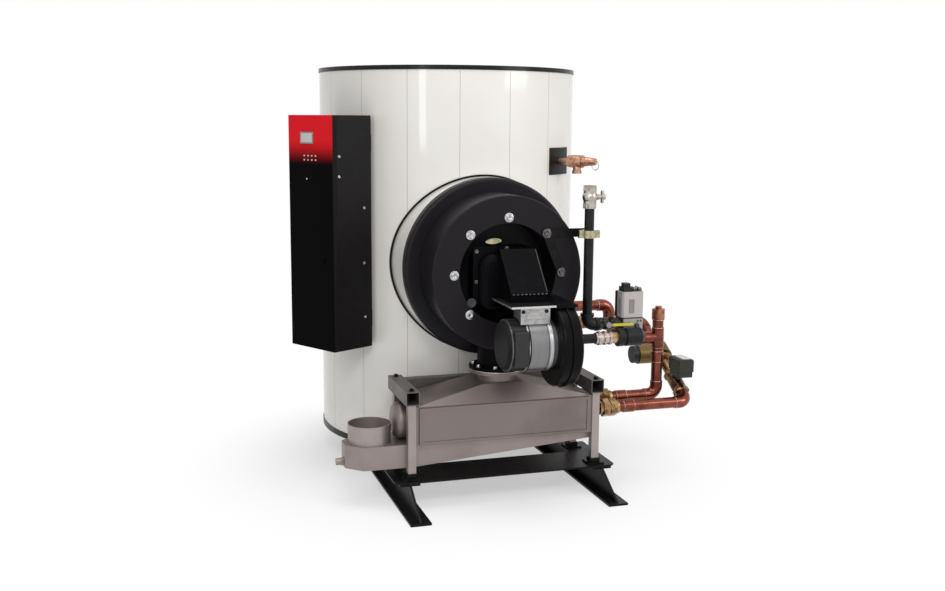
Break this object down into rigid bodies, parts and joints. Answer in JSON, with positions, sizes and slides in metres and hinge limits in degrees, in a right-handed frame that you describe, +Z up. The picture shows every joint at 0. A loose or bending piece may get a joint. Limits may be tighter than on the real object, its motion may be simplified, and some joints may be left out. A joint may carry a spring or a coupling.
{
  "type": "commercial gas water heater",
  "caption": "Upright jacketed gas water heater on a steel skid, with a front burner drum, blower, flue heat exchanger, copper circulating pipes and a control cabinet.",
  "frame": {"origin": "the tank's axis where it meets the floor", "axes": "+Z up, -Y the burner side, +X to the right of someone who faces the burner"},
  "size_m": [1.4562, 1.654, 1.524],
  "materials": {
    "black_steel": "satin black paint",
    "cream_jacket": "gloss cream enamel",
    "drum_black": "satin black paint",
    "stainless": "brushed",
    "motor_alloy": "cast and machined",
    "motor_plastic": "moulded",
    "cabinet_black": "textured powder coat",
    "cabinet_face": "satin with a red band",
    "black_iron": "black iron pipe",
    "plated_steel": "plated",
    "valve_grey": "moulded",
    "valve_alloy": "die cast",
    "lever_yellow": "dipped vinyl",
    "bronze": "cast",
    "pump_black": "moulded",
    "copper": "drawn tube"
  },
  "bodies": {
    "heater": {"air_vent": "bronze", "ball_valve": "plated_steel", "blower_motor": "motor_alloy", "blower_scroll": "drum_black", "bottom_rim": "black_steel", "burner_collar": "cream_jacket", "burner_hood": "drum_black", "burner_inlet": "drum_black", "cabinet_body": "cabinet_black", "cabinet_rails": "cabinet_black", "collar_trim": "black_steel", "condensate_drain": "stainless", "condensate_pan": "stainless", "drum": "drum_black", "drum_flange": "drum_black", "exhaust_collar": "stainless", "flow_switch": "pump_black", "flue_pipe": "drum_black", "gas_cock": "plated_steel", "gas_coupling": "plated_steel", "gas_elbow": "black_iron", "gas_feed": "black_iron", "gas_regulator": "black_iron", "gas_riser": "black_iron", "gas_valve_actuator": "valve_grey", "gas_valve_body": "valve_alloy", "gas_valve_plug": "pump_black", "hx_body": "stainless", "hx_bonnets": "stainless", "hx_roof": "stainless", "jacket": "cream_jacket", "motor_cap": "motor_plastic", "outlet_plate": "motor_alloy", "pipe_unions": "bronze", "pump": "bronze", "pump_motor": "pump_black", "relief_plate": "black_steel", "relief_valve": "bronze", "return_pipe": "copper", "riser_arm": "black_steel", "riser_clamp": "plated_steel", "skid_plate": "black_steel", "skid_runner_left": "black_steel", "skid_runner_right": "black_steel", "skid_tie": "black_steel", "stand_bar_left": "stainless", "stand_bar_right": "stainless", "stand_crossbar": "black_steel", "stand_feet": "black_steel", "stand_posts_left": "stainless", "stand_posts_right": "stainless", "supply_lower": "copper", "supply_upper": "copper", "tank_floor": "black_steel", "top_cover": "black_steel", "top_rim": "black_steel", "water_nozzles": "black_iron"},
    "cabinet_door": {"cabinet_door": "cabinet_face"},
    "cock_handle": {"gas_cock_handle": "plated_steel"},
    "lever": {"ball_valve_lever": "lever_yellow"}
  },
  "joints": [
    {"name": "cabinet_door", "type": "hinge", "parent": "heater", "child": "cabinet_door", "pos_m": [-0.65538, -0.22885, 0.919], "axis": [0, 0, -1], "range_deg": [0, 110]},
    {"name": "cock_handle", "type": "hinge", "parent": "heater", "child": "cock_handle", "pos_m": [0.312, -0.85, 1.073], "axis": [1, 0, 0], "range_deg": [0, 90]},
    {"name": "lever", "type": "hinge", "parent": "heater", "child": "lever", "pos_m": [0.339, -0.8803, 0.629], "axis": [0, -1, 0], "range_deg": [0, 90]}
  ]
}
